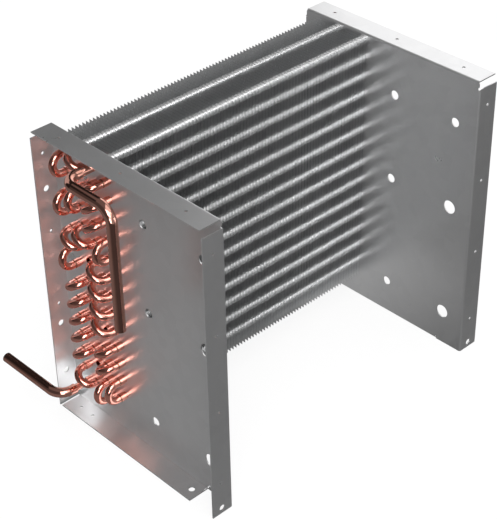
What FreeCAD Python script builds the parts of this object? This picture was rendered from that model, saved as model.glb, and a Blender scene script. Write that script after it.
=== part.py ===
import FreeCAD, Part

import math
import os

# Finned heat exchanger coil: copper tubes in four staggered rows through a pack of thin
# aluminium fins, held between two folded steel end plates.
# X runs along the tubes, from the end with the return bends to the end with the hairpin
# bends. The fins are at the back (+Y), and the plates reach forward of them to -Y.
# Z is up, and the coil stands on the bottom flanges. All sizes are in millimetres.

# Driving dimensions of the tubes.
TUBE_PITCH = 25.4            # between neighbours, in a row and from row to row
TUBE_DIAMETER = 9.52
TUBE_WALL = 0.5

# Driving dimensions of the fins.
FIN_PITCH = 5.08
FIN_COUNT = 79
FIN_THICKNESS = 0.25
FIN_EDGE = 9.5               # from the outer rows' axes to the front and back fin edges
COLLAR_WALL = 0.3            # the fins' drawn collars, which space them along the tubes
COLLAR_CLEARANCE = 0.05      # tube to collar, and collar to fin

# Driving dimensions of the end plates.
SHEET = 1.5
FOLD_RADIUS = 1.0            # inside radius of each fold
FLANGE_DEPTH = 30.5          # over the plate's own thickness
BELOW_FINS = 38.0            # from the bottom flange to the fins
ABOVE_FINS = 2.4
BEHIND_FINS = 24.3
AHEAD_OF_FINS = 176.2
PLATE_CLEARANCE = 0.15       # between a tube and the wall of its hole
TOP_FLANGE_INSET = 3.4       # from the plate's edge to each end of the top flange
SIDE_FLANGE_DROP = 9.6       # from the plate's top to the upper end of a side flange
BOTTOM_FLANGE_BACK = 4.8     # from the plate's back edge to the bottom flange
BOTTOM_FLANGE_FRONT = 40.8   # from the plate's front edge to the bottom flange
RELIEF_RADIUS = 1.8          # round relief where a fold ends

# Driving dimensions of the holes in the plates.
HOLE_LINE = 16.2             # from the fin side of a plate to the holes in its flanges
SCREW_HOLE = 4.0
SCREW_LEVELS = 4
SCREW_FROM_BASE = 46.5
SCREW_FROM_TOP = 34.5
TOP_SCREWS = 3
TOP_SCREW_FROM_BACK = 36.3
TOP_SCREW_FROM_FRONT = 39.2
FLANGE_BOLT_HOLE = 8.0
BACK_BOLT_FROM_BASE = 48.2
BACK_BOLT_MIDDLE = 121.7
BACK_BOLT_FROM_TOP = 81.5
FRONT_BOLT_FROM_BASE = 8.0
BOTTOM_SCREW_NEAR_BACK = 25.4
BOTTOM_SCREW_PITCH = 22.6
BOTTOM_BOLT_FROM_FRONT = 53.0
FACE_HOLE = 12.0
LARGE_FACE_HOLE = 18.0
INNER_COLUMN = 130.5         # from the plate's front edge
OUTER_COLUMN = 33.8
FACE_HOLE_FROM_TOP = 66.0
FACE_HOLE_MIDDLE = 209.5     # above the base
FACE_HOLE_FROM_BASE = 48.4

# Driving dimensions of the joints between tubes.
BELL_REACH = 9.2             # from the near plate to the rim of a tube's widened end
BELL_DEPTH = 6.5
BELL_CLEARANCE = 0.05
BEND_STRAIGHT = 3.9          # from a bell's rim to where a return bend starts to curve
HAIRPIN_STRAIGHT = 3.0       # from the far plate to where a hairpin starts to curve
SPARE_REACH = 4.5            # how far the unused tubes stand out of each plate

# Driving dimensions of the two connecting pipes.
PIPE_DIAMETER = 12.7
PIPE_WALL = 0.8
PIPE_BEND = 19.0             # radius of the centre line at each elbow
SHOULDER = 4.0               # from the step in the pipe to the start of its first elbow
UPPER_NECK = 27.8            # from a bell's rim to the step in the upper pipe
UPPER_RUN = 80.5
UPPER_DROP = 155.0
LOWER_NECK = 18.0
LOWER_RUN = 109.0

# The way through the coil, from the upper pipe to the lower one. The letter is the row,
# A at the back and D at the front, and the number is the level, 1 at the bottom. Tubes
# are joined in turn by a hairpin bend at the far plate and a return bend at the near one.
CIRCUIT = (
    "D14 C14 B14 A14 A13 A12 A11 B11 B12 C13 D13 D12 C12 C11 D11 D10 D9 D8 "
    "C9 C10 B10 B9 A10 A9 A8 A7 B7 C8 D7 C7 D6 D5 C6 B6 A6 A5 B5 B4 A4 A3 "
    "B3 C4 D4 D3 C3 D2 D1 C1 C2 B1 A2 A1"
).split()
SPARE_TUBES = ["B13", "B8", "C5", "B2"]

# Sizes that follow from the driving dimensions. Lengths along Y are counted from the
# plates' back edge, forward, until the parts are placed.
ALL_TUBES = CIRCUIT + SPARE_TUBES
ROWS = sorted({name[0] for name in ALL_TUBES})
TUBES_IN_ROW = max(int(name[1:]) for name in ALL_TUBES)
ROW_PITCH = TUBE_PITCH * math.cos(math.radians(30))
TUBE_RADIUS = TUBE_DIAMETER / 2
BORE_RADIUS = TUBE_RADIUS - TUBE_WALL
COLLAR_BORE = TUBE_RADIUS + COLLAR_CLEARANCE
COLLAR_RADIUS = COLLAR_BORE + COLLAR_WALL
PACK_LENGTH = (FIN_COUNT + 1) * FIN_PITCH
FIN_HEIGHT = TUBES_IN_ROW * TUBE_PITCH
FIN_DEPTH = (len(ROWS) - 1) * ROW_PITCH + 2 * FIN_EDGE
PLATE_HEIGHT = BELOW_FINS + FIN_HEIGHT + ABOVE_FINS
PLATE_WIDTH = BEHIND_FINS + FIN_DEPTH + AHEAD_OF_FINS
FOLD_OUTSIDE = FOLD_RADIUS + SHEET
NEAR_FACE = -SHEET
FAR_FACE = PACK_LENGTH + SHEET
CURVE_RADIUS = TUBE_PITCH / 2
BELL_RIM = NEAR_FACE - BELL_REACH
SOCKET_FLOOR = BELL_RIM + BELL_DEPTH - TUBE_WALL
PIPE_RADIUS = PIPE_DIAMETER / 2
UPPER_AXIS = BELL_RIM - UPPER_NECK - SHOULDER - PIPE_BEND
LOWER_AXIS = BELL_RIM - LOWER_NECK - SHOULDER - PIPE_BEND

# The origin is at the middle of the whole coil's box, on the surface that it stands on.
REACH_NEAR = UPPER_AXIS - PIPE_RADIUS
REACH_FAR = PACK_LENGTH + FLANGE_DEPTH
REACH_BEHIND = LOWER_RUN - BEHIND_FINS - FIN_EDGE
CENTRE_X = (REACH_NEAR + REACH_FAR) / 2
CENTRE_Y = (REACH_BEHIND - PLATE_WIDTH) / 2


def tube_axis(name):
    """Place of a tube's axis across the coil: forward of the back edge, and height."""
    row = ROWS.index(name[0])
    level = int(name[1:]) - 1
    forward = BEHIND_FINS + FIN_EDGE + row * ROW_PITCH
    first = TUBE_PITCH / 4 if row % 2 == 0 else TUBE_PITCH * 3 / 4
    return forward, BELOW_FINS + first + level * TUBE_PITCH


def point(x, forward, z):
    """A point of the coil, given by its distance forward of the plates' back edge."""
    return FreeCAD.Vector(x - CENTRE_X, -forward - CENTRE_Y, z)


def box(x, forward, z, size_x, size_forward, size_z):
    """A block from its lowest x, its back and its bottom."""
    corner = point(x, forward + size_forward, z)
    return Part.makeBox(size_x, size_forward, size_z, corner)


def rod_along_x(x, forward, z, radius, length):
    return Part.makeCylinder(radius, length, point(x, forward, z), FreeCAD.Vector(1, 0, 0))


def route_wire(points, radius):
    """Straight runs through the points, joined by arcs of one radius."""
    edges = []
    start = points[0]
    for before, corner, after in zip(points, points[1:], points[2:]):
        way_in = (before - corner).normalize()
        way_out = (after - corner).normalize()
        half = way_in.getAngle(way_out) / 2
        to_arc = radius / math.tan(half)
        first = corner + way_in * to_arc
        last = corner + way_out * to_arc
        inward = (way_in + way_out).normalize()
        middle = corner + inward * (radius / math.sin(half) - radius)
        edges.append(Part.LineSegment(start, first).toShape())
        edges.append(Part.Arc(first, middle, last).toShape())
        start = last
    edges.append(Part.LineSegment(start, points[-1]).toShape())
    return Part.Wire(edges)


def rod_on_wire(wire, radius):
    """A round rod swept along a wire, whose first edge is straight."""
    first = wire.Edges[0]
    start = first.Vertexes[0].Point
    direction = first.tangentAt(first.FirstParameter)
    ring = Part.Wire([Part.makeCircle(radius, start, direction)])
    return wire.makePipeShell([ring], True, True)


def tube_on_wire(wire, radius, wall):
    return rod_on_wire(wire, radius).cut(rod_on_wire(wire, radius - wall))


def bent_between(start_x, curve_x, name_a, name_b):
    """Centre line of a U through two neighbouring tubes, from start_x round past curve_x."""
    forward_a, height_a = tube_axis(name_a)
    forward_b, height_b = tube_axis(name_b)
    outward = 1 if curve_x > start_x else -1
    middle = point(
        curve_x + outward * CURVE_RADIUS, (forward_a + forward_b) / 2, (height_a + height_b) / 2
    )
    curve_a = point(curve_x, forward_a, height_a)
    curve_b = point(curve_x, forward_b, height_b)
    return Part.Wire([
        Part.LineSegment(point(start_x, forward_a, height_a), curve_a).toShape(),
        Part.Arc(curve_a, middle, curve_b).toShape(),
        Part.LineSegment(curve_b, point(start_x, forward_b, height_b)).toShape(),
    ])


# Fins: thin flat plates. One long slot for each row of tubes takes the place of the round
# holes, which would be thousands in all. The collars fill it at every tube.
def fin_pack():
    fin = box(0, BEHIND_FINS, BELOW_FINS, FIN_THICKNESS, FIN_DEPTH, FIN_HEIGHT)
    reach = COLLAR_RADIUS + COLLAR_CLEARANCE
    for row in ROWS:
        forward, lowest = tube_axis(f"{row}1")
        run = (TUBES_IN_ROW - 1) * TUBE_PITCH
        slot = box(
            -FIN_THICKNESS, forward - reach, lowest - reach,
            3 * FIN_THICKNESS, 2 * reach, run + 2 * reach
        )
        fin = fin.cut(slot)
    fins = []
    for number in range(1, FIN_COUNT + 1):
        copy = fin.copy()
        copy.translate(FreeCAD.Vector(number * FIN_PITCH, 0, 0))
        fins.append(copy)
    return Part.makeCompound(fins)


# Collars: each fin's collars are drawn from the fin and butt on the next one, so along
# each tube they make one sleeve from the first fin to the far plate.
def fin_collars():
    start = FIN_PITCH
    length = PACK_LENGTH - start - COLLAR_CLEARANCE
    sleeves = []
    for name in ALL_TUBES:
        forward, height = tube_axis(name)
        outside = rod_along_x(start, forward, height, COLLAR_RADIUS, length)
        sleeves.append(outside.cut(rod_along_x(start, forward, height, COLLAR_BORE, length)))
    return Part.makeCompound(sleeves)


# Hairpins: one long tube bent double behind the far plate, with both ends widened beyond
# the near plate to take the return bends.
def hairpin(name_a, name_b):
    bell_end = BELL_RIM + BELL_DEPTH
    wire = bent_between(bell_end, FAR_FACE + HAIRPIN_STRAIGHT, name_a, name_b)
    tube = rod_on_wire(wire, TUBE_RADIUS)
    bore = rod_on_wire(wire, BORE_RADIUS)
    bell_bore = TUBE_RADIUS + BELL_CLEARANCE
    socket_depth = SOCKET_FLOOR - BELL_RIM
    for name in (name_a, name_b):
        forward, height = tube_axis(name)
        bell = rod_along_x(BELL_RIM, forward, height, bell_bore + TUBE_WALL, BELL_DEPTH)
        socket = rod_along_x(BELL_RIM, forward, height, bell_bore, socket_depth)
        passage = rod_along_x(BELL_RIM, forward, height, BORE_RADIUS, BELL_DEPTH + BELL_REACH)
        tube = tube.fuse(bell)
        bore = bore.fuse([socket, passage])
    return tube.cut(bore)


# Return bends: short U pieces brazed into the widened ends of two hairpins.
def return_bend(name_a, name_b):
    start = SOCKET_FLOOR - BELL_CLEARANCE
    wire = bent_between(start, BELL_RIM - BEND_STRAIGHT, name_a, name_b)
    return tube_on_wire(wire, TUBE_RADIUS, TUBE_WALL)


# Spare tubes: four places in the pack hold a straight tube, open at both ends, that the
# circuit leaves out.
def spare_tubes():
    start = NEAR_FACE - SPARE_REACH
    length = FAR_FACE + SPARE_REACH - start
    tubes = []
    for name in SPARE_TUBES:
        forward, height = tube_axis(name)
        outside = rod_along_x(start, forward, height, TUBE_RADIUS, length)
        tubes.append(outside.cut(rod_along_x(start, forward, height, BORE_RADIUS, length)))
    return Part.makeCompound(tubes)


# Connecting pipes: each has a neck of the tubes' diameter in the last bell, a shoulder,
# and a wider pipe that bends across the coil to its open end.
def connecting_pipe(tube, axis_x, turns):
    """A pipe from a tube's bell to an elbow at axis_x, and on through the further turns."""
    forward, height = tube_axis(tube)
    neck_start = SOCKET_FLOOR - BELL_CLEARANCE
    elbow_x = axis_x + PIPE_BEND
    shoulder_x = elbow_x + SHOULDER
    corner = point(axis_x, forward, height)
    wire = route_wire([point(shoulder_x, forward, height), corner] + turns, PIPE_BEND)
    neck_length = neck_start - shoulder_x
    neck = rod_along_x(shoulder_x, forward, height, TUBE_RADIUS, neck_length)
    shell = rod_on_wire(wire, PIPE_RADIUS).fuse(neck)
    end_wall = rod_along_x(shoulder_x - PIPE_WALL, forward, height, PIPE_RADIUS, PIPE_WALL)
    passage = rod_along_x(elbow_x, forward, height, BORE_RADIUS, neck_start - elbow_x)
    bore = rod_on_wire(wire, PIPE_RADIUS - PIPE_WALL).cut(end_wall).fuse(passage)
    return shell.cut(bore)


def upper_pipe():
    forward, height = tube_axis(CIRCUIT[0])
    ahead = point(UPPER_AXIS, forward + UPPER_RUN, height)
    end = point(UPPER_AXIS, forward + UPPER_RUN, height - UPPER_DROP)
    return connecting_pipe(CIRCUIT[0], UPPER_AXIS, [ahead, end])


def lower_pipe():
    forward, height = tube_axis(CIRCUIT[-1])
    end = point(LOWER_AXIS, forward - LOWER_RUN, height)
    return connecting_pipe(CIRCUIT[-1], LOWER_AXIS, [end])


# End plates: steel sheet with a flange folded on each side, away from the fins. The near
# plate is drawn here, with its fin side at x = 0 and its flanges towards -X.
def folded_edge(length):
    """Section of a fold and its flange, pulled along Y: the flange lies along -X on top."""
    inner = FOLD_RADIUS
    outer = FOLD_OUTSIDE
    diagonal = math.sqrt(0.5)
    centre = FreeCAD.Vector(-outer, 0, -outer)

    def at(x, z):
        return centre + FreeCAD.Vector(x, 0, z)
    tip = outer - FLANGE_DEPTH
    section = Part.Wire([
        Part.LineSegment(at(inner, 0), at(outer, 0)).toShape(),
        Part.Arc(at(outer, 0), at(outer * diagonal, outer * diagonal), at(0, outer)).toShape(),
        Part.LineSegment(at(0, outer), at(tip, outer)).toShape(),
        Part.LineSegment(at(tip, outer), at(tip, inner)).toShape(),
        Part.LineSegment(at(tip, inner), at(0, inner)).toShape(),
        Part.Arc(at(0, inner), at(inner * diagonal, inner * diagonal), at(inner, 0)).toShape(),
    ])
    return Part.Face(section).extrude(FreeCAD.Vector(0, -length, 0))


def turned_edge(length, angle, forward, z):
    """A folded edge turned about X, with its outer corner's start put at a place."""
    edge = folded_edge(length)
    edge.rotate(FreeCAD.Vector(0, 0, 0), FreeCAD.Vector(1, 0, 0), angle)
    edge.translate(point(0, forward, z))
    return edge


def hole(x, forward, z, diameter, direction):
    """A hole that goes right through one sheet, in either sense of the direction."""
    length = 4 * FOLD_OUTSIDE
    start = point(x, forward, z) - direction * (length / 2)
    return Part.makeCylinder(diameter / 2, length, start, direction)


def plate_holes():
    across = FreeCAD.Vector(1, 0, 0)
    sideways = FreeCAD.Vector(0, 1, 0)
    upward = FreeCAD.Vector(0, 0, 1)
    face_x = -SHEET / 2
    line_x = -HOLE_LINE
    holes = []
    for name in ALL_TUBES:
        forward, height = tube_axis(name)
        holes.append(hole(face_x, forward, height, TUBE_DIAMETER + 2 * PLATE_CLEARANCE, across))
    heights = [PLATE_HEIGHT - FACE_HOLE_FROM_TOP, FACE_HOLE_MIDDLE, FACE_HOLE_FROM_BASE]
    outer_sizes = [FACE_HOLE, LARGE_FACE_HOLE, LARGE_FACE_HOLE]
    for height, outer_size in zip(heights, outer_sizes):
        holes.append(hole(face_x, PLATE_WIDTH - INNER_COLUMN, height, FACE_HOLE, across))
        holes.append(hole(face_x, PLATE_WIDTH - OUTER_COLUMN, height, outer_size, across))
    screw_step = (PLATE_HEIGHT - SCREW_FROM_TOP - SCREW_FROM_BASE) / (SCREW_LEVELS - 1)
    for level in range(SCREW_LEVELS):
        height = SCREW_FROM_BASE + level * screw_step
        holes.append(hole(line_x, PLATE_WIDTH, height, SCREW_HOLE, sideways))
        if level > 0:
            holes.append(hole(line_x, 0, height, SCREW_HOLE, sideways))
    for height in (BACK_BOLT_FROM_BASE, BACK_BOLT_MIDDLE, PLATE_HEIGHT - BACK_BOLT_FROM_TOP):
        holes.append(hole(line_x, 0, height, FLANGE_BOLT_HOLE, sideways))
    holes.append(hole(line_x, PLATE_WIDTH, FRONT_BOLT_FROM_BASE, FLANGE_BOLT_HOLE, sideways))
    top_length = PLATE_WIDTH - TOP_SCREW_FROM_BACK - TOP_SCREW_FROM_FRONT
    for number in range(TOP_SCREWS):
        forward = TOP_SCREW_FROM_BACK + number * top_length / (TOP_SCREWS - 1)
        holes.append(hole(line_x, forward, PLATE_HEIGHT, SCREW_HOLE, upward))
    for number in range(2):
        forward = BOTTOM_SCREW_NEAR_BACK + number * BOTTOM_SCREW_PITCH
        holes.append(hole(line_x, forward, 0, SCREW_HOLE, upward))
    holes.append(hole(line_x, PLATE_WIDTH - BOTTOM_BOLT_FROM_FRONT, 0, FLANGE_BOLT_HOLE, upward))
    return holes


def near_plate():
    outer = FOLD_OUTSIDE
    bottom_start = BOTTOM_FLANGE_BACK
    bottom_end = PLATE_WIDTH - BOTTOM_FLANGE_FRONT
    side_length = PLATE_HEIGHT - SIDE_FLANGE_DROP
    face = box(
        -SHEET, outer, outer, SHEET, PLATE_WIDTH - 2 * outer, PLATE_HEIGHT - 2 * outer
    )
    pieces = [
        box(-SHEET, outer, 0, SHEET, bottom_start - outer, outer),
        box(-SHEET, bottom_end, 0, SHEET, PLATE_WIDTH - outer - bottom_end, outer),
        turned_edge(
            PLATE_WIDTH - 2 * TOP_FLANGE_INSET, 0, TOP_FLANGE_INSET, PLATE_HEIGHT
        ),
        turned_edge(bottom_end - bottom_start, 180, bottom_end, 0),
        turned_edge(side_length, 90, PLATE_WIDTH, side_length),
        turned_edge(side_length, -90, 0, 0),
    ]
    plate = face.fuse(pieces).removeSplitter()
    across = FreeCAD.Vector(1, 0, 0)
    reliefs = [
        (outer, side_length),
        (PLATE_WIDTH - outer, side_length),
        (bottom_start, outer),
        (bottom_end, outer),
    ]
    cuts = plate_holes()
    for forward, height in reliefs:
        cuts.append(hole(-outer, forward, height, 2 * RELIEF_RADIUS, across))
    return plate.cut(cuts)


def far_plate():
    """The near plate's mirror image, at the other end of the pack."""
    middle = point(PACK_LENGTH / 2, 0, 0)
    return near_plate().mirror(middle, FreeCAD.Vector(1, 0, 0))


def save(shape, name):
    solids = shape.Solids
    whole = solids[0] if len(solids) == 1 else Part.makeCompound(solids)
    whole.exportStep(f"parts/{name}.step")
    print(name, len(solids), "solids", round(whole.Volume, 2), "mm3", whole.isValid())


os.makedirs("parts", exist_ok=True)
save(near_plate(), "near_end_plate")
save(far_plate(), "far_end_plate")
save(fin_pack(), "fins")
save(fin_collars(), "fin_collars")
save(spare_tubes(), "spare_tubes")
for number, pair in enumerate(zip(CIRCUIT[0::2], CIRCUIT[1::2]), start=1):
    save(hairpin(*pair), f"hairpin_{number:02d}")
for number, pair in enumerate(zip(CIRCUIT[1::2], CIRCUIT[2::2]), start=1):
    save(return_bend(*pair), f"return_bend_{number:02d}")
save(upper_pipe(), "upper_pipe")
save(lower_pipe(), "lower_pipe")
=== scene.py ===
import math

import bpy
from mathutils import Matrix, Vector


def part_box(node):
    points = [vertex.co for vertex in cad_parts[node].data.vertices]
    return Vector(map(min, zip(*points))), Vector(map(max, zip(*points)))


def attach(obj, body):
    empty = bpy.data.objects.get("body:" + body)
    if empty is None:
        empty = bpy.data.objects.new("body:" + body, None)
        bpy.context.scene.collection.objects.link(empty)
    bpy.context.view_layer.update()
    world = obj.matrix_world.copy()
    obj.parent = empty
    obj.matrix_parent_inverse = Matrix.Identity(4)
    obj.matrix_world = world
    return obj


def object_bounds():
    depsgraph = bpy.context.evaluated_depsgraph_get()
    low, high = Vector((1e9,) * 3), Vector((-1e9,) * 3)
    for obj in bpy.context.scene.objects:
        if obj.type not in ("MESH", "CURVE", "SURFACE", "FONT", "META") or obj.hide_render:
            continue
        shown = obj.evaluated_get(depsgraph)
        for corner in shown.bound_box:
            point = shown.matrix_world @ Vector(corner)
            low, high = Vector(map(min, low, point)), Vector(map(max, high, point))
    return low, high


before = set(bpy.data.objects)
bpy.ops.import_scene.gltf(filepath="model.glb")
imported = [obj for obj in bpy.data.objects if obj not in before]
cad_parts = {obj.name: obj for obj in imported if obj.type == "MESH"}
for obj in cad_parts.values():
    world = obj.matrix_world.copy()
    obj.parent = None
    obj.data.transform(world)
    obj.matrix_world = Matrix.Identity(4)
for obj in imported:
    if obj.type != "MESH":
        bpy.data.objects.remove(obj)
cad_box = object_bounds()


# End plates. Each is folded from bright galvanised sheet steel and carries the tubes in
# its holes; the case is screwed to its flanges. The zinc shows faint crystals, fine
# rolling lines and a few handling marks.
ZINC_COLOUR = (0.78, 0.78, 0.785)
ZINC_METAL = 0.91
ZINC_LINES = (900.0, 900.0, 14.0)


def add(tree, kind, **values):
    """A shader node of that kind, with its settings and the values of its sockets."""
    made = tree.nodes.new(kind)
    for name, value in values.items():
        if hasattr(made, name):
            setattr(made, name, value)
        else:
            made.inputs[name.replace("_", " ")].default_value = value
    return made


def wire(source, output, target, socket):
    """Joins one node's output to a socket of another node in the same tree."""
    source.id_data.links.new(source.outputs[output], target.inputs[socket])


def new_group(name, inputs, outputs):
    """A node group with sockets of the given names and kinds, and its first and last node."""
    tree = bpy.data.node_groups.new(name, "ShaderNodeTree")
    for side, sockets in (("INPUT", inputs), ("OUTPUT", outputs)):
        for label, kind in sockets.items():
            tree.interface.new_socket(label, in_out=side, socket_type=kind)
    return tree, tree.nodes.new("NodeGroupInput"), tree.nodes.new("NodeGroupOutput")


def new_material(name, **values):
    """A material, its node tree and its Principled shader with the values given."""
    material = bpy.data.materials.new(name)
    material.use_nodes = True
    shader = material.node_tree.nodes["Principled BSDF"]
    for label, value in values.items():
        shader.inputs[label.replace("_", " ")].default_value = value
    return material, material.node_tree, shader


def paint(nodes, material):
    """Gives each named CAD node that material."""
    for name in nodes:
        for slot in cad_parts[name].material_slots:
            slot.material = material


def rolling_lines():
    """The fine lines that rolls leave in a sheet, stretched by the material's own scale."""
    tree, given, out = new_group(
        "rolling lines",
        {"Stretch": "NodeSocketVector", "Detail": "NodeSocketFloat"},
        {"Lines": "NodeSocketFloat"},
    )
    place = add(tree, "ShaderNodeTexCoord")
    stretched = add(tree, "ShaderNodeVectorMath", operation="MULTIPLY")
    lines = add(tree, "ShaderNodeTexNoise", Scale=1.0)
    wire(place, "Object", stretched, 0)
    wire(given, "Stretch", stretched, 1)
    wire(stretched, "Vector", lines, "Vector")
    wire(given, "Detail", lines, "Detail")
    wire(lines, "Fac", out, "Lines")
    return tree


lines_group = rolling_lines()


def galvanised_steel():
    """Crystals tint the zinc, handling marks change its gloss, and lines stand in relief."""
    material, tree, shader = new_material("galvanised steel", Metallic=ZINC_METAL)
    place = add(tree, "ShaderNodeTexCoord")

    crystals = add(tree, "ShaderNodeTexVoronoi", Scale=70.0)
    grey = add(tree, "ShaderNodeSeparateColor")
    tone = add(tree, "ShaderNodeMapRange", To_Min=0.98, To_Max=1.015)
    tinted = add(tree, "ShaderNodeVectorMath", operation="SCALE", Vector=ZINC_COLOUR)
    wire(place, "Object", crystals, "Vector")
    wire(crystals, "Color", grey, "Color")
    wire(grey, "Red", tone, "Value")
    wire(tone, "Result", tinted, "Scale")
    wire(tinted, "Vector", shader, "Base Color")

    marks = add(tree, "ShaderNodeTexNoise", Scale=9.0, Detail=6.0, Roughness=0.7)
    gloss = add(tree, "ShaderNodeMapRange", From_Min=0.3, From_Max=0.7, To_Min=0.27, To_Max=0.31)
    wire(place, "Object", marks, "Vector")
    wire(marks, "Fac", gloss, "Value")
    wire(gloss, "Result", shader, "Roughness")

    rolled = add(tree, "ShaderNodeGroup", node_tree=lines_group, Stretch=ZINC_LINES, Detail=4.0)
    relief = add(tree, "ShaderNodeBump", Strength=0.04, Distance=0.0001)
    wire(rolled, "Lines", relief, "Height")
    wire(relief, "Normal", shader, "Normal")
    return material


paint(["near_end_plate", "far_end_plate"], galvanised_steel())


# Fins. Thin sheets of bright rolled aluminium, punched for the tubes and pushed over them
# one behind the other. Their cut edges carry a painted shade that makes them darker than their
# faces.
FIN_COUNT = 79
FIN_THICKNESS = 0.00025
FIN_COLOUR = (0.88, 0.885, 0.89, 1.0)
FIN_ROUGHNESS = 0.3
FIN_METAL = 0.975
FIN_LINES = (60.0, 1200.0, 18.0)
CUT_EDGE_SHADE = 0.28


def mill_finish():
    """Rolled aluminium whose tint and gloss follow the rolling lines."""
    sockets = {"Colour": "NodeSocketColor", "Roughness": "NodeSocketFloat"}
    tree, given, out = new_group("mill finish", sockets, sockets)
    rolled = add(tree, "ShaderNodeGroup", node_tree=lines_group, Stretch=FIN_LINES, Detail=3.0)

    tone = add(tree, "ShaderNodeMapRange", From_Min=0.3, From_Max=0.7, To_Min=0.95, To_Max=1.04)
    tinted = add(tree, "ShaderNodeVectorMath", operation="SCALE")
    wire(rolled, "Lines", tone, "Value")
    wire(given, "Colour", tinted, "Vector")
    wire(tone, "Result", tinted, "Scale")
    wire(tinted, "Vector", out, "Colour")

    gloss = add(tree, "ShaderNodeMapRange", From_Min=0.3, From_Max=0.7, To_Min=0.85, To_Max=1.25)
    rough = add(tree, "ShaderNodeMath", operation="MULTIPLY")
    wire(rolled, "Lines", gloss, "Value")
    wire(given, "Roughness", rough, 0)
    wire(gloss, "Result", rough, 1)
    wire(rough, "Value", out, "Roughness")
    return tree


mill_group = mill_finish()


def fin_aluminium():
    """Mill finish on the faces, which look along X, and a painted shade that darkens the cut
    edges.
    """
    material, tree, shader = new_material("fin aluminium", Metallic=FIN_METAL)
    sheet = add(
        tree, "ShaderNodeGroup", node_tree=mill_group, Colour=FIN_COLOUR, Roughness=FIN_ROUGHNESS
    )
    wire(sheet, "Roughness", shader, "Roughness")

    # Painted shade: the more a surface turns away from X, as the cut edges do, the darker its
    # colour.
    surface = add(tree, "ShaderNodeNewGeometry")
    parts = add(tree, "ShaderNodeSeparateXYZ")
    flatness = add(tree, "ShaderNodeMath", operation="ABSOLUTE")
    shade = add(tree, "ShaderNodeMapRange", From_Max=0.5, To_Min=CUT_EDGE_SHADE, To_Max=1.0)
    shaded = add(tree, "ShaderNodeVectorMath", operation="SCALE")
    wire(surface, "Normal", parts, "Vector")
    wire(parts, "X", flatness, 0)
    wire(flatness, "Value", shade, "Value")
    wire(sheet, "Colour", shaded, "Vector")
    wire(shade, "Result", shaded, "Scale")
    wire(shaded, "Vector", shader, "Base Color")
    return material


paint(["fins"], fin_aluminium())


# Collars. Each fin is drawn into a collar round every tube, which grips the tube and sets
# the gap. It widens where it leaves the fin and again where it meets the next one, so the
# gaps hold a row of small spools. Only the outer tubes, which can be seen, have them drawn.
COLLAR_COLOUR = (0.94, 0.94, 0.94, 1.0)
COLLAR_ROUGHNESS = 0.28
COLLAR_METAL = 0.92
COLLAR_RADIUS = 0.00511
LIP_RADIUS = 0.0055
LIP_SHARE = 0.2
LIP_CORNERS = 16
ROWS = 4
LEVELS = 14


def collar_aluminium():
    material, tree, shader = new_material("collar aluminium", Metallic=COLLAR_METAL)
    sheet = add(
        tree,
        "ShaderNodeGroup",
        node_tree=mill_group,
        Colour=COLLAR_COLOUR,
        Roughness=COLLAR_ROUGHNESS,
    )
    wire(sheet, "Colour", shader, "Base Color")
    wire(sheet, "Roughness", shader, "Roughness")
    return material


def add_ring(points, faces, place, profile, corners):
    """Adds a surface turned about X: the profile is a list of (x, radius)."""
    start = len(points)
    for along, radius in profile:
        for corner in range(corners):
            angle = 2 * math.pi * corner / corners
            points.append((
                place[0] + along,
                place[1] + radius * math.cos(angle),
                place[2] + radius * math.sin(angle),
            ))
    for band in range(len(profile) - 1):
        for corner in range(corners):
            following = (corner + 1) % corners
            low = start + band * corners
            high = low + corners
            faces.append((low + corner, high + corner, high + following, low + following))


def new_piece(name, points, faces, material):
    """A smooth mesh that rides on the coil."""
    mesh = bpy.data.meshes.new(name)
    mesh.from_pydata(points, [], faces)
    mesh.polygons.foreach_set("use_smooth", [True] * len(faces))
    mesh.materials.append(material)
    piece = bpy.data.objects.new(name, mesh)
    bpy.context.scene.collection.objects.link(piece)
    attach(piece, "root")


def collar_lips(name, places):
    """Spools in every gap along the tubes at those (y, z) places, from plate to plate."""
    low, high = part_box("fins")
    pitch = (high.x - FIN_THICKNESS - low.x) / (FIN_COUNT - 1)
    gap = pitch - FIN_THICKNESS
    profile = [
        (0.0, LIP_RADIUS),
        (LIP_SHARE * gap, COLLAR_RADIUS),
        ((1 - LIP_SHARE) * gap, COLLAR_RADIUS),
        (gap, LIP_RADIUS),
    ]
    points = []
    faces = []
    for forward, height in places:
        for number in range(-1, FIN_COUNT):  # -1 is the gap before the first fin
            start = low.x + FIN_THICKNESS + number * pitch
            add_ring(points, faces, (start, forward, height), profile, LIP_CORNERS)
    new_piece(name, points, faces, collar_metal)


def tube_grid():
    """The rows' places from back to front, and the heights in the lower and raised rows."""
    low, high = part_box("fin_collars")
    level = (high.z - low.z - 2 * COLLAR_RADIUS) / (LEVELS - 0.5)
    spacing = (high.y - low.y - 2 * COLLAR_RADIUS) / (ROWS - 1)
    rows = [high.y - COLLAR_RADIUS - number * spacing for number in range(ROWS)]
    lower = [low.z + COLLAR_RADIUS + number * level for number in range(LEVELS)]
    raised = [height + level / 2 for height in lower]
    return rows, lower, raised


collar_metal = collar_aluminium()
paint(["fin_collars"], collar_metal)
rows, lower, raised = tube_grid()
collar_lips("front_collar_lips", [(rows[3], height) for height in raised])
collar_lips("back_collar_lips", [(rows[0], height) for height in lower])
collar_lips("end_collar_lips", [(rows[1], raised[-1]), (rows[2], lower[0])])


# Tubes. Long hairpins of drawn copper, bent double behind the far plate, and a few spare
# straight tubes run through the fins. Their near ends are widened to take the bends. The
# torch left them darker and redder in clouds.
TUBE_RADIUS = 0.00476
TUBE_COLOUR = (1.0, 0.45, 0.36, 1.0)
TUBE_ROUGHNESS = 0.09
HEATED = (0.86, 0.72, 0.66)


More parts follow.
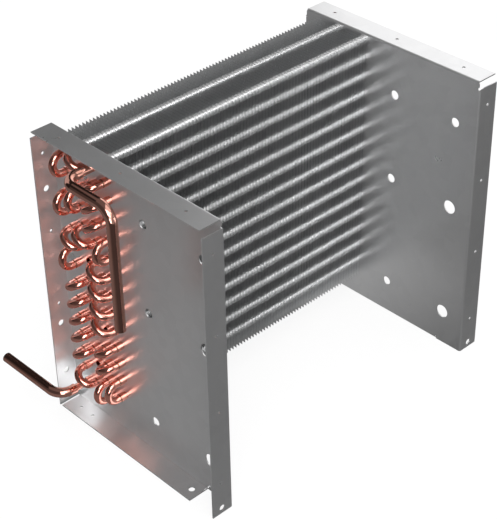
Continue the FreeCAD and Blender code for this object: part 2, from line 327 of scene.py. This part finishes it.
def torch_clouds():
    """Copper whose colour and gloss change in clouds, where the torch heated it."""
    sockets = {"Colour": "NodeSocketColor", "Roughness": "NodeSocketFloat"}
    tree, given, out = new_group("torch clouds", sockets, sockets)
    place = add(tree, "ShaderNodeTexCoord")
    cloud = add(tree, "ShaderNodeTexNoise", Scale=45.0, Detail=5.0)
    wire(place, "Object", cloud, "Vector")

    darker = add(tree, "ShaderNodeVectorMath", operation="MULTIPLY")
    darker.inputs[1].default_value = HEATED
    share = add(tree, "ShaderNodeMapRange", From_Min=0.42, From_Max=0.75, To_Max=0.6)
    mixed = add(tree, "ShaderNodeMix", data_type="RGBA")
    wire(given, "Colour", darker, 0)
    wire(cloud, "Fac", share, "Value")
    wire(share, "Result", mixed, "Factor")
    wire(given, "Colour", mixed, "A")
    wire(darker, "Vector", mixed, "B")
    wire(mixed, "Result", out, "Colour")

    gloss = add(tree, "ShaderNodeMapRange", From_Min=0.3, From_Max=0.7, To_Min=0.8, To_Max=1.4)
    rough = add(tree, "ShaderNodeMath", operation="MULTIPLY")
    wire(cloud, "Fac", gloss, "Value")
    wire(given, "Roughness", rough, 0)
    wire(gloss, "Result", rough, 1)
    wire(rough, "Value", out, "Roughness")
    return tree


torch_group = torch_clouds()


def drawn_copper(name, colour, roughness):
    material, tree, shader = new_material(name, Metallic=1.0)
    heated = add(
        tree, "ShaderNodeGroup", node_tree=torch_group, Colour=colour, Roughness=roughness
    )
    wire(heated, "Colour", shader, "Base Color")
    wire(heated, "Roughness", shader, "Roughness")
    return material


tube_copper = drawn_copper("drawn copper", TUBE_COLOUR, TUBE_ROUGHNESS)
hairpins = [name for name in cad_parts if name.startswith("hairpin")]
paint([*hairpins, "spare_tubes"], tube_copper)


# Return bends. Short U pieces of the same copper, pushed into the tubes' widened ends, so
# that the refrigerant goes from one hairpin to the next.
bends = [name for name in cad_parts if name.startswith("return_bend")]
paint(bends, tube_copper)


# Connecting pipes. Two wider copper pipes, necked down to enter their sockets and bent to
# lead out of the case. They are a little browner than the tubes.
PIPE_COLOUR = (0.86, 0.44, 0.35, 1.0)
PIPE_ROUGHNESS = 0.07

pipes = ["upper_pipe", "lower_pipe"]
paint(pipes, drawn_copper("pipe copper", PIPE_COLOUR, PIPE_ROUGHNESS))


# Braze. A fillet of filler metal closes the gap between each widened tube end and the
# bend or pipe that stands in it; it is duller than the copper and a little uneven.
BRAZE_COLOUR = (0.5, 0.24, 0.17, 1.0)
BRAZE_DARK = (0.3, 0.13, 0.09, 1.0)
BRAZE_CORNERS = 24
BELL_RADIUS = 0.00531
FILLET = 0.0016
LAP = 0.0002
HOLLOW = 0.35
END_DEPTH = 0.0001


def braze_metal():
    material, tree, shader = new_material("braze", Metallic=1.0, Roughness=0.38)
    place = add(tree, "ShaderNodeTexCoord")
    grain = add(tree, "ShaderNodeTexNoise", Scale=900.0, Detail=3.0)
    tone = add(tree, "ShaderNodeMix", data_type="RGBA", A=BRAZE_COLOUR, B=BRAZE_DARK)
    relief = add(tree, "ShaderNodeBump", Strength=0.4, Distance=0.0001)
    wire(place, "Object", grain, "Vector")
    wire(grain, "Fac", tone, "Factor")
    wire(tone, "Result", shader, "Base Color")
    wire(grain, "Fac", relief, "Height")
    wire(relief, "Normal", shader, "Normal")
    return material


def tube_ends(node):
    """Centres of the node's ends that stand in sockets: a bend has two, a pipe one."""
    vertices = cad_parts[node].data.vertices
    inner = max(vertex.co.x for vertex in vertices)
    rim = [vertex.co for vertex in vertices if vertex.co.x > inner - END_DEPTH]
    apart = 3 * TUBE_RADIUS  # a point further off than this is on the bend's other end
    near = [place for place in rim if (place - rim[0]).length < apart]
    far = [place for place in rim if (place - rim[0]).length >= apart]
    return [sum(end, Vector()) / len(end) for end in (near, far) if end]


def braze_rings():
    """A hollow fillet round each tube end, from the bell's rim back to the tube."""
    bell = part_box("hairpin_01")[0].x
    profile = [
        (LAP, BELL_RADIUS),
        (0.0, BELL_RADIUS),
        (-HOLLOW * FILLET, 0.5 * (BELL_RADIUS + TUBE_RADIUS)),
        (-FILLET, TUBE_RADIUS),
    ]
    points = []
    faces = []
    for node in bends + pipes:
        for end in tube_ends(node):
            add_ring(points, faces, (bell, end.y, end.z), profile, BRAZE_CORNERS)
    new_piece("braze_rings", points, faces, braze_metal())


braze_rings()


# Studio. A pale floor, a white surround, and soft lamps above and beside the coil. Round
# it stand grey cards that only reflections show, so that the bright metal has form.
WHITE = (1.0, 1.0, 1.0, 1.0)
BLACK = (0.0, 0.0, 0.0, 1.0)
FLOOR_COLOUR = (0.12, 0.12, 0.12, 1.0)
FLOOR_GLOW = 0.86
FLOOR_REACH = 6.0
TENT_REACH = 2.2
TENT_TOP = 2.6
CARD_LIFT = 0.001
MIDDLE_REACH = 0.8
MIDDLE_TOP = 2.0
MIDDLE_GAP = 0.02
LAMP_AIM = (0.0, 0.0, 0.2)


def level(across, deep, height):
    """Corners of a level sheet between two places along X and two along Y."""
    (left, right), (front, back) = across, deep
    return [
        (left, front, height), (right, front, height), (right, back, height), (left, back, height)
    ]


def upright(start, end, bottom, top):
    """Corners of an upright sheet from one (x, y) place to another."""
    return [(*start, bottom), (*end, bottom), (*end, top), (*start, top)]


def stage_sheet(name, corners, material):
    """A flat sheet of the studio, which isn't part of the coil."""
    mesh = bpy.data.meshes.new(name)
    mesh.from_pydata(corners, [], [(0, 1, 2, 3)])
    mesh.materials.append(material)
    sheet = bpy.data.objects.new(name, mesh)
    bpy.context.scene.collection.objects.link(sheet)
    return sheet


def pale_floor(floor_level):
    """A floor that the camera sees near white and that keeps the coil's shadow."""
    material, tree, shader = new_material(
        "pale floor",
        Base_Color=FLOOR_COLOUR,
        Roughness=0.9,
        Specular_IOR_Level=0.0,
        Emission_Color=WHITE,
    )
    seen = add(tree, "ShaderNodeLightPath")
    glow = add(tree, "ShaderNodeMath", operation="MULTIPLY")
    glow.inputs[1].default_value = FLOOR_GLOW
    wire(seen, "Is Camera Ray", glow, 0)
    wire(glow, "Value", shader, "Emission Strength")
    whole = (-FLOOR_REACH, FLOOR_REACH)
    stage_sheet("floor", level(whole, whole, floor_level), material)


def card(name, corners, grey):
    """A card of one grey that only reflections show."""
    material, tree, shader = new_material(
        name,
        Base_Color=BLACK,
        Specular_IOR_Level=0.0,
        Emission_Color=WHITE,
        Emission_Strength=grey,
    )
    sheet = stage_sheet(name, corners, material)
    sheet.visible_camera = False
    sheet.visible_diffuse = False
    sheet.visible_shadow = False
    return tree, shader


def graded_card(name, corners, near, far, between):
    """A card whose grey runs from near to far between two places along Y."""
    tree, shader = card(name, corners, near)
    place = add(tree, "ShaderNodeTexCoord")
    parts = add(tree, "ShaderNodeSeparateXYZ")
    start, end = between
    grey = add(
        tree, "ShaderNodeMapRange", From_Min=start, From_Max=end, To_Min=near, To_Max=far
    )
    wire(place, "Object", parts, "Vector")
    wire(parts, "Y", grey, "Value")
    wire(grey, "Result", shader, "Emission Strength")


def tent(floor_level):
    """The cards: six sides, a brighter middle at the back, and two cards on the floor."""
    low = floor_level + CARD_LIFT
    over = floor_level + 1.3 * CARD_LIFT
    left_front, right_front = (-TENT_REACH, -TENT_REACH), (TENT_REACH, -TENT_REACH)
    left_back, right_back = (-TENT_REACH, TENT_REACH), (TENT_REACH, TENT_REACH)
    whole = (-TENT_REACH, TENT_REACH)
    middle = TENT_REACH - MIDDLE_GAP
    graded_card(
        "tent_floor", level(whole, whole, low),
        near=0.06, far=0.17, between=(-0.3, 0.1),
    )
    card("tent_roof", level(whole, whole, TENT_TOP), grey=0.15)
    card("tent_left", upright(left_front, left_back, low, TENT_TOP), grey=0.07)
    graded_card(
        "tent_right", upright(right_front, right_back, low, TENT_TOP),
        near=0.25, far=1.0, between=(-0.6, 0.6),
    )
    card("tent_back", upright(left_back, right_back, low, TENT_TOP), grey=0.02)
    card("tent_front", upright(left_front, right_front, low, TENT_TOP), grey=0.34)
    card(
        "tent_middle",
        upright((-MIDDLE_REACH, middle), (MIDDLE_REACH, middle), low, MIDDLE_TOP),
        grey=0.52,
    )
    graded_card(
        "floor_light", level((0.08, 0.36), (-0.16, 0.16), over),
        near=0.13, far=0.33, between=(-0.14, 0.02),
    )
    card("floor_left", level((-0.5, -0.2), (-0.14, 0.16), over), grey=0.2)


def surround():
    """A white world, which lights the coil evenly and fills the picture beyond the floor."""
    world = bpy.data.worlds.new("studio")
    bpy.context.scene.world = world
    world.use_nodes = True
    light = world.node_tree.nodes["Background"]
    light.inputs["Color"].default_value = WHITE
    light.inputs["Strength"].default_value = 1.0


def lamp(name, place, size, power):
    """A soft rectangular lamp that points at the coil."""
    light = bpy.data.lights.new(name, "AREA")
    light.shape = "RECTANGLE"
    light.size, light.size_y = size
    light.energy = power
    holder = bpy.data.objects.new(name, light)
    holder.location = place
    aim = Vector(LAMP_AIM) - Vector(place)
    holder.rotation_euler = aim.to_track_quat("-Z", "Y").to_euler()
    bpy.context.scene.collection.objects.link(holder)


stand = cad_box[0][2]
pale_floor(stand)
surround()
tent(stand)
lamp("back_right", place=(1.4, 0.85, 1.05), size=(0.75, 0.75), power=0.5)
lamp("front_left", place=(-1.3, -1.4, 1.8), size=(1.3, 1.3), power=18.0)
lamp("low_left", place=(-1.9, -1.9, 0.45), size=(2.0, 0.8), power=27.0)
lamp("overhead", place=(0.25, -0.65, 2.5), size=(3.0, 2.8), power=24.0)
lamp("front", place=(-0.7, -2.1, 1.3), size=(3.0, 2.2), power=25.0)


# Camera. A long lens at the photograph's place and angle, which were found from the
# corners of both end plates; the turn is in degrees.
CAMERA_PLACE = (-1.035, -1.129, 1.2343)
CAMERA_TURN = (55.126, 0.963, -43.628)
LENS = 104.94

view = bpy.data.cameras.new("camera")
view.lens = LENS
camera = bpy.data.objects.new("camera", view)
camera.location = CAMERA_PLACE
camera.rotation_euler = [math.radians(angle) for angle in CAMERA_TURN]
bpy.context.scene.collection.objects.link(camera)
bpy.context.scene.camera = camera
bpy.context.scene.view_settings.view_transform = "Standard"
